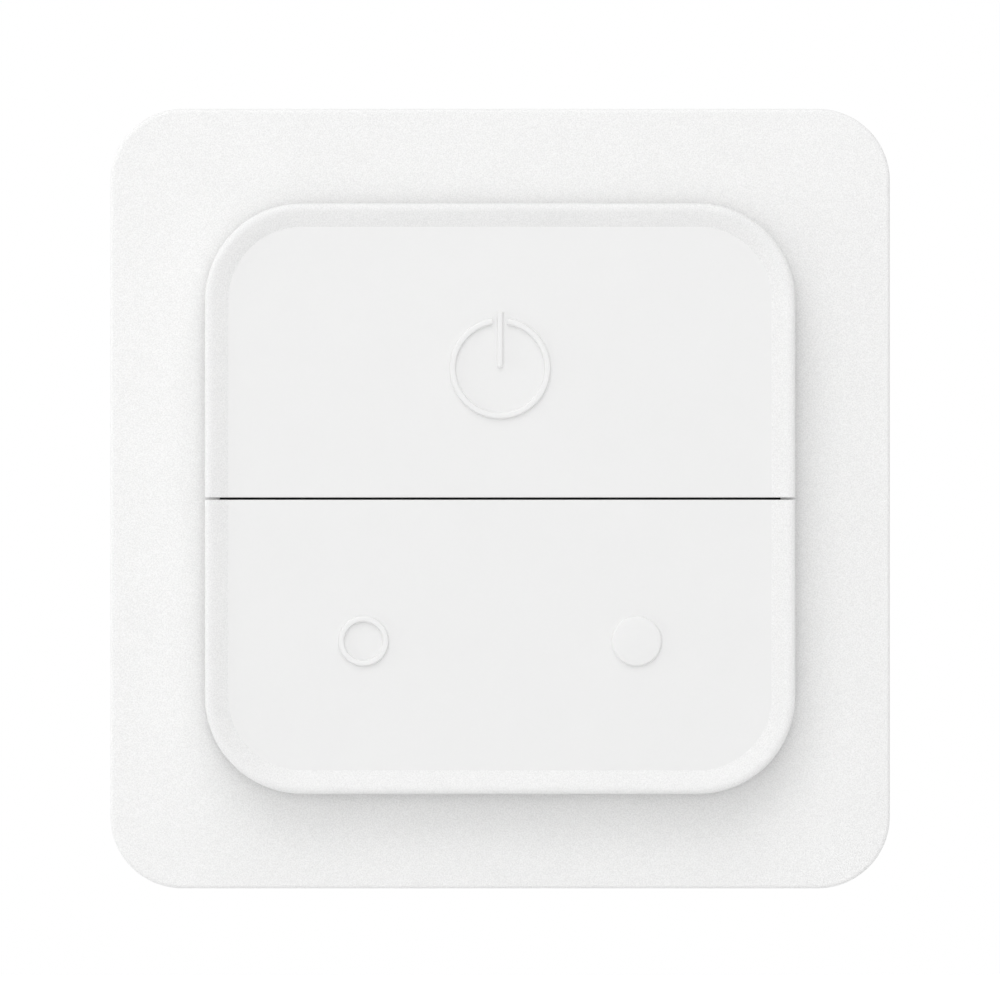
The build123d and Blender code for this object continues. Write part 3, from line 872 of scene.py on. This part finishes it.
def rings(radius, level, steps=96):
    """Points on rings round the axis, each at its level: radius times cosine and sine. A ring's
    radius is one number or one for each step."""
    ring = circle(1.0, steps)[None] * np.reshape(radius, (len(radius), -1, 1))
    level = np.broadcast_to(np.reshape(level, (-1, 1, 1)), (*ring.shape[:2], 1))
    return np.concatenate([ring, level], axis=-1)


def button(across, up, radius, edge, base, rise, steps=96):
    """A raised disc with a rolled edge: rings whose inset is edge times one minus cosine and whose
    lift is the sine of equal angles, then flat to the middle."""
    rolled = radius - edge * (1 - np.cos(quarter_turn))
    reach = np.concatenate([[radius], rolled, [(radius - edge) / 2, pole_radius]])
    lift = np.concatenate([[-sign_foot / abs(rise)], np.sin(quarter_turn), [1, 1]])
    return capped_shell(rings(reach, base + lift * rise, steps) + [across, up, 0])


small_path = arc_path((-sign_across, sign_up), (small_outer + small_inner) / 2, 0, 360, steps=96)
small_path = tuple(part[:-1] for part in small_path)
small_ring = stroke(*small_path, small_outer - small_inner, face_front, sign_height, closed=True)
make_piece("dim_sign", [small_ring], sign_plastic, "dimmer_key")
bright_dot = button(sign_across, sign_up, dot_radius, dot_edge, face_front, sign_height)
make_piece("bright_sign", [bright_dot], sign_plastic, "dimmer_key")

# %% [markdown]
# ## Case screws
#
# Four screws close the module from behind. The head is a low dome with a crossed recess, and the
# thread is a ridge that climbs one pitch for each turn. Both are functions of a turn and a second
# number, so both are grids. The recess is pressed into the head's grid where a point lies in one
# of two crossed bars, and the thread lifts the shank's grid by how near a point is to the ridge.

# %% Screw head
screw_seat = 3.9
head_height = 1.3
head_radius = 1.9
head_edge = 0.4
recess_depth = 0.75
recess_half_width = 0.26
recess_reach = 1.05
recess_slope = 0.12
thread_root = 0.78


def crossed_recess(across, up):
    """1 inside two crossed bars and 0 outside, with a short slope: one number falls off with the
    nearer of the two distances from the bars' middle lines, the other with the farther."""
    near = np.minimum(np.abs(across), np.abs(up))
    far = np.maximum(np.abs(across), np.abs(up))
    within = np.clip((recess_half_width - near) / recess_slope + 0.5, 0, 1)
    return within * np.clip((recess_reach - far) / recess_slope + 0.5, 0, 1)


def screw_head():
    """Rings from the middle of the face out over the rounded edge and under the head. The level
    is the head's back, plus the recess, and rises over the edge by one minus cosine."""
    turn = np.linspace(0, np.pi / 2, 7)
    face = np.linspace(pole_radius / 2, head_radius - head_edge, 34)[:-1]
    rolled = head_radius - head_edge * (1 - np.sin(turn))
    radius = np.concatenate([face, rolled, [head_radius, thread_root]])
    back = screw_seat - head_height
    over = back + head_edge * (1 - np.cos(turn))
    level = np.concatenate([np.full(len(face), back), over, [screw_seat, screw_seat]])
    points = rings(radius, level)
    flat = points[: len(face)]
    flat[..., 2] += recess_depth * crossed_recess(flat[..., 0], flat[..., 1])
    return capped_shell(points)


print(f"a recess {recess_depth} mm deep in a head {head_height} mm high")

# %% Screw thread
thread_radius = 1.0
thread_pitch = 0.7
thread_steps = 32
crest_slope = 1.25
shank_length = 6.6
point_length = 0.6
point_width = 0.45
thread_overlap = 0.05


def screw_thread():
    """Radius = root + ridge times one minus the distance from the ridge, where the distance runs
    from 0 to 1 over half a pitch, level / pitch - share of a turn. The ridge fades at both ends,
    and the shank tapers to its point."""
    level = np.linspace(0, shank_length, 96)
    share = np.arange(thread_steps) / thread_steps
    phase = (level[:, None] / thread_pitch - share) % 1
    ridge = np.clip(crest_slope * (1 - 2 * np.abs(phase - 0.5)), 0, 1)
    fade = np.clip(np.minimum(level, shank_length - level) / thread_pitch, 0, 1)
    taper = np.clip((shank_length - level) / point_length, point_width, 1)
    radius = (thread_root + (thread_radius - thread_root) * ridge * fade[:, None]) * taper[:, None]
    return capped_shell(rings(radius, screw_seat - thread_overlap + level, thread_steps))


print(f"{shank_length / thread_pitch:.1f} turns of thread")

# %% Four screws
screw_across = 22.6
screw_steel = metal("screw_steel", (0.6, 0.6, 0.6), 0.3, 0.3, (1, 1, 1), 0.003)
screw_shells = [screw_head(), screw_thread()]
corners = [(sx * screw_across, sy * screw_across, 0) for sy in (1, -1) for sx in (-1, 1)]
all_screws = [(points + corner, faces) for corner in corners for points, faces in screw_shells]
make_piece("case_screws_turned", all_screws, screw_steel, "module", ["case_screws"])

# %% [markdown]
# ## Coin cell
#
# The cell is a deep drawn steel can, rolled in over a plastic ring that keeps it apart from the
# smaller cap. All of it is one section turned round the axis. Which metal or plastic shows is
# picked by how far out a face lies.

# %% Cell
cell_low, cell_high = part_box("coin_cell")
cell_back, cell_front = -cell_high.y / MM, -cell_low.y / MM
cell_radius = (cell_high.x - cell_low.x) / 2 / MM
seal_outer, seal_inner = 9.05, 8.6
plus_half, plus_width, plus_rise = 1.6, 0.5, -0.05
cell_section = [
    (pole_radius, cell_back),
    (cell_radius - 0.35, cell_back),
    (cell_radius - 0.1, cell_back + 0.1),
    (cell_radius, cell_back + 0.35),
    (cell_radius, cell_front - 0.75),
    (cell_radius - 0.12, cell_front - 0.42),
    (cell_radius - 0.45, cell_front - 0.24),
    (seal_outer, cell_front - 0.2),
    (seal_outer - 0.04, cell_front - 0.32),
    (seal_inner + 0.06, cell_front - 0.32),
    (seal_inner, cell_front - 0.22),
    (seal_inner - 0.12, cell_front - 0.04),
    (seal_inner - 0.4, cell_front),
    (pole_radius, cell_front),
]


def steel_or_seal(middles):
    """0 for steel and 1 for the plastic ring between can and cap, on the front only."""
    out = np.hypot(middles[:, 0], middles[:, 1])
    return (out < seal_outer) & (out > seal_inner) & (middles[:, 2] > cell_back + 1)


cell_steel = metal("cell_steel", (0.72, 0.72, 0.71), 0.28, 0.4, (0.05, 1, 1), 0.002)
cell_seal = plain_finish("cell_seal", (0.05, 0.06, 0.055), (0.08, 0.09, 0.085), 0.5, 0.3, 0.003)
plus_sign = [
    stroke(*straight((-across, -up), (across, up)), plus_width, cell_back, plus_rise)
    for across, up in ((plus_half, 0), (0, plus_half))
]
cell_shells = [capped_shell(rings(*np.transpose(cell_section), steps=128)), *plus_sign]
looks = [cell_steel, cell_seal]
make_piece(
    "coin_cell_rolled", cell_shells, looks, "module", ["coin_cell"], pick=steel_or_seal
)

# %% [markdown]
# ## Battery door marks
#
# The back of the door shows which way it turns, with two arcs that end in arrowheads. They rise
# a tenth of a millimetre and so stay below the housing's back. An arc is a stroke like the signs,
# and an arrowhead is two short ones.

# %% Door marks
door_back = -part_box("battery_door")[1].y / MM
mark_rise = -0.1
mark_radius = 8.6
mark_width = 0.55
mark_starts, mark_sweep = (60, 240), 40
head_length = 1.5
head_slant = math.radians(35)


def arrow_arc(start):
    """An arc that sweeps back from an angle in degrees, and two strokes that leave its end the
    other way, at a slant to each side."""
    middles, outward = arc_path((0, 0), mark_radius, start, start - mark_sweep, steps=24)
    tip, out = middles[-1], outward[-1]
    ahead = np.array([out[1], -out[0]])
    shells = [stroke(middles, outward, mark_width, door_back, mark_rise)]
    for side in (-1, 1):
        back = side * out * math.sin(head_slant) - ahead * math.cos(head_slant)
        path = straight(tip + back * head_length, tip + ahead * mark_width / 2)
        shells.append(stroke(*path, mark_width, door_back, mark_rise))
    return shells


door_marks = [shell for start in mark_starts for shell in arrow_arc(start)]
make_piece("door_marks", door_marks, housing_plastic, "battery_door")

# %% [markdown]
# ## Adhesive pads
#
# The two pads are foam tape. Each is die-cut with round corners, and its glue is covered by a
# thin liner film in two halves, so that one half can be pulled off at a time. Foam and film are
# prisms from the same rounded outline, one above the other.

# %% Pads
liner_thickness = 0.08
liner_split = 0.25
pad_corner = 1.5


def rounded_outline(width, height, corner, across=0.0, up=0.0, steps=8):
    """A rectangle with round corners: at each corner, its middle plus the corner's radius times
    cosine and sine over a quarter turn."""
    signs, directions = corner_walk(steps)
    middles = signs * (np.array([width, height]) / 2 - corner)
    return middles + directions * corner + [across, up]


def pad_layers(name):
    """The foam and the two liner halves of one pad, from the box of its solid."""
    low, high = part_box(name)
    width, height = (high.x - low.x) / MM, (high.z - low.z) / MM
    outline = rounded_outline(width, height, pad_corner, 0, (low.z + high.z) / 2 / MM)
    shells = [prism(outline, liner_thickness, -low.y / MM)]
    for side in (-1, 1):
        half = outline.copy()
        half[:, 0] = side * np.maximum(side * half[:, 0], liner_split / 2)
        shells.append(prism(half, 0, liner_thickness))
    return shells


def foam_or_liner(middles):
    """0 for foam and 1 for the liner film, which lies below the liner's thickness."""
    return middles[:, 2] < liner_thickness - pick_margin


pad_foam = plain_finish("pad_foam", (0.72, 0.72, 0.69), (0.85, 0.85, 0.82), 0.85, 0.25, 0.03)
pad_liner = plain_finish("pad_liner", (0.55, 0.66, 0.74), (0.6, 0.7, 0.78), 0.3, 2.0, 0.002)
for pad in ("adhesive_pad_upper", "adhesive_pad_lower"):
    shells, looks = pad_layers(pad), [pad_foam, pad_liner]
    make_piece(f"{pad}_layers", shells, looks, "wall_unit", [pad], pick=foam_or_liner)

# %% [markdown]
# ## Small things on the board
#
# A board is printed and soldered by machine: pads of tin under every lead, tracks under the
# lacquer that join them, and tiny parts from a reel. A track is the same stroke as in the signs,
# only three hundredths of a millimetre high, and bends by half a right angle. The places are
# read from the solids, so that nothing is placed twice.

# %% Board details
board_front = -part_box("circuit_board")[0].y / MM
pad_rise = 0.03
tin_corner = 0.15
tin_sunk = 0.01
track_width, track_edge = 0.35, 0.02
four_corners = [(right, above) for right in (-1, 1) for above in (-1, 1)]


def flat_box(name):
    """A solid's box, lying: its middle and its size across, up and out, in millimetres."""
    low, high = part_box(name)
    middle, size = (low + high) / 2 / MM, (high - low) / MM
    return np.array([middle.x, middle.z, -middle.y]), np.array([size.x, size.z, size.y])


def solder_pad(across, up, width, height):
    """A thin rounded pad of tin on the board."""
    outline = rounded_outline(width, height, tin_corner, across, up, steps=4)
    return prism(outline, board_front - tin_sunk, board_front + pad_rise)


def track(*points):
    """A bent track: one stroke for each straight run, and a round dot on each end and bend."""
    ways = [straight(start, end) for start, end in zip(points, points[1:])]
    runs = [stroke(*way, track_width, board_front, pad_rise) for way in ways]
    size = (track_width / 2, track_edge, board_front, pad_rise)
    return runs + [button(*place, *size, steps=16) for place in points]


print(f"the board's front is {board_front:.2f} mm off the wall")

# %% Solder pads
lead_out, lead_up = 3.9, 2.25
capacitor_count = 5
capacitor_width = 0.8
lead_pad, capacitor_pad, resistor_pad = (1.4, 1.1), (1.0, 0.9), (0.5, 0.6)
resistor_drop = 3.2
resistor_length, resistor_width, resistor_height = 1.0, 0.5, 0.35
switch_middles = [flat_box(f"{switch}_switch_base")[0] for switch in ("power", "dim", "bright")]
capacitor_middle, capacitor_size = flat_box("board_capacitors")
capacitor_ups = capacitor_middle[1] + np.array([-1, 1]) * capacitor_size[1] / 2
row_half = (capacitor_size[0] - capacitor_width) / 2
row = capacitor_middle[0] + np.linspace(-row_half, row_half, capacitor_count)
resistor_up = capacitor_middle[1] - resistor_drop
resistor_ends = [across + side * resistor_length / 2 for across in row for side in (-1, 1)]
pads = [
    solder_pad(middle[0] + right * lead_out, middle[1] + above * lead_up, *lead_pad)
    for middle in switch_middles
    for right, above in four_corners
]
pads += [solder_pad(across, up, *capacitor_pad) for across in row for up in capacitor_ups]
pads += [solder_pad(across, resistor_up, *resistor_pad) for across in resistor_ends]
tinned_steel = metal("tinned_steel", (0.76, 0.76, 0.74), 0.3, 0.6, (1, 1, 1), 0.003)
make_piece("board_solder_pads", pads, tinned_steel, "module")

# %% Tracks
column_offsets = (-4, 3)
turn_drop = 3
branch_rise, bend_rise = 1.2, 1.7
shield_middle, shield_size = flat_box("radio_shield")
shield_low = shield_middle[1] - shield_size[1] / 2
shield_right = shield_middle[0] + shield_size[0] / 2
power_middle, dim_middle, bright_middle = switch_middles
power_lead_up = power_middle[1] + lead_up
turn_up = shield_low - turn_drop
branch_up, bend_up = resistor_up + branch_rise, resistor_up + bend_rise
columns = shield_middle[0] + np.array(column_offsets)
tracks = track((power_middle[0] - lead_out, power_lead_up), (shield_right, power_lead_up))
for middle, column in zip((dim_middle, bright_middle), columns):
    lead, low = middle[0] - lead_out, turn_up - abs(middle[0] - lead_out - column)
    tracks += track((lead, middle[1] - lead_up), (lead, low), (column, turn_up), (column, shield_low))
for across, end in zip(row, resistor_ends[::2]):
    tracks += track((end, resistor_up), (end, branch_up), (across, bend_up))
    tracks += track((across, bend_up), (across, capacitor_ups[0]))
green_tones = (0.02, 0.16, 0.07), (0.03, 0.22, 0.1)
board_laminate = plain_finish("board_laminate", *green_tones, 0.35, 0.5, 0.004)
board_track = plain_finish("board_track", (0.04, 0.26, 0.12), (0.05, 0.3, 0.14), 0.3, 0.8, 0.002)
make_piece("board_tracks", tracks, board_track, "module")

# %% Resistors


def body_or_end(middles):
    """0 for a resistor's dark body and 1 for its tinned ends, by the distance from its middle."""
    nearest = np.abs(middles[:, :1] - row).min(axis=1)
    return nearest > resistor_length / 2 - pick_margin


chip_black = plain_finish("chip_black", (0.02, 0.02, 0.022), (0.035, 0.035, 0.038), 0.5, 0.1, 0.003)
outlines = [rectangle(resistor_length, resistor_width, across, resistor_up) for across in row]
low, high = board_front + pad_rise, board_front + resistor_height
resistors, looks = [prism(outline, low, high) for outline in outlines], [chip_black, tinned_steel]
make_piece("board_resistors", resistors, looks, "module", pick=body_or_end)

# %% [markdown]
# The cover of a push switch is held by four plastic pegs, whose heads are melted into low domes.
# The tin can has a few dimples that snap into its fence. Both are the same rolled disc as the
# dot on the lower key.

# %% Pegs and dimples
cover_front = -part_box("power_switch_cover")[0].y / MM
peg_offset = 2.45
peg_size = {"radius": 0.32, "edge": 0.15, "base": cover_front, "rise": 0.12, "steps": 32}
pegs = [
    button(middle[0] + right * peg_offset, middle[1] + above * peg_offset, **peg_size)
    for middle in switch_middles
    for right, above in four_corners
]
black_tones = (0.025, 0.025, 0.027), (0.04, 0.04, 0.043)
switch_black = plain_finish("switch_black", *black_tones, 0.42, 0.15, 0.004)
make_piece("switch_cover_pegs", pegs, switch_black, "module")

shield_front = shield_middle[2] + shield_size[2] / 2
dimple_pitch = 3.0
dimple_acrosses = shield_middle[0] + np.array([-1.5, -0.5, 0.5, 1.5]) * dimple_pitch
dimple_ups = shield_middle[1] + np.array([-1, 1]) * (shield_size[1] / 2 - 1.0)
dimple_size = {"radius": 0.4, "edge": 0.2, "base": shield_front, "rise": 0.08, "steps": 32}
dimples = [button(across, up, **dimple_size) for across in dimple_acrosses for up in dimple_ups]
make_piece("shield_dimples", dimples, tinned_steel, "module")

# %% [markdown]
# ## Finishes for the solids that stay
#
# The other solids already have their shape. Each gets its finish in its material slots: brushed
# steel, tin, nickel, a green lacquered board, fired ceramic and black moulded packages.

# %% Finish of every solid
ceramic_tones = (0.36, 0.25, 0.15), (0.44, 0.32, 0.2)
finishes = {
    "frame_plastic": frame_plastic,
    "key_plastic": key_grain,
    "housing_plastic": housing_plastic,
    "carrier_plastic": carrier_plastic,
    "keeper_steel": metal("keeper_steel", (0.62, 0.62, 0.61), 0.38, 0.5, (0.03, 1, 1), 0.004),
    "pad_foam": pad_foam,
    "cell_steel": cell_steel,
    "contact_strip": metal("contact_strip", (0.8, 0.76, 0.66), 0.25, 0.3, (0.1, 1, 1), 0.002),
    "board_laminate": board_laminate,
    "tinned_steel": tinned_steel,
    "chip_black": chip_black,
    "capacitor_body": plain_finish("capacitor_body", *ceramic_tones, 0.45, 0.3, 0.004),
    "switch_black": switch_black,
    "magnet_nickel": metal("magnet_nickel", (0.75, 0.75, 0.75), 0.16, 1.2, (1, 1, 1), 0.001),
    "screw_steel": screw_steel,
}

slot_of_node = {part["node"]: part["material_slot"] for part in frame["record"]["subparts"]}
for node_name, solid in solids.items():
    for place in solid.material_slots:
        place.material = finishes[slot_of_node[node_name]]
print(f"{len(solids)} solids finished with {len(finishes)} materials")

# %% [markdown]
# ## The floor
#
# The floor lies so low that its shadow stays out of the straight view but shows as soon as the
# camera rises. It is pale and diffuse and glows a little to the camera and in reflections, so
# that it reads as white while the shadow on it stays.

# %% Floor
floor_level = -0.06
floor_half = 0.9
floor_colour = (0.92, 0.92, 0.92, 1)
floor_glow = 0.35
floor_mesh = bpy.data.meshes.new("floor")
floor_corners = rectangle(2 * floor_half, 2 * floor_half)
floor_points = np.column_stack([floor_corners, np.full(4, floor_level)])
floor_mesh.from_pydata(floor_points, [], [list(range(4))])
floor = add_object("floor", floor_mesh)
floor_finish, floor_tree, floor_shader = start_finish(
    "pale_floor", Base_Color=floor_colour, Roughness=0.9, Emission_Color=white
)
glow_inputs = {0: seen_directly(floor_tree), 1: floor_glow}
glow = add_node(floor_tree, "Math", glow_inputs, operation="MULTIPLY")
floor_tree.links.new(glow.outputs[0], floor_shader.inputs["Emission Strength"])
floor_mesh.materials.append(floor_finish)
floor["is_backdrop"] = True

# %% Size when dressed
dressed_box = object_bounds()
dressed_size = (dressed_box[1] - dressed_box[0]) * 1000
print(f"dressed {dressed_size.x:.2f} x {dressed_size.y:.2f} x {dressed_size.z:.2f} mm")
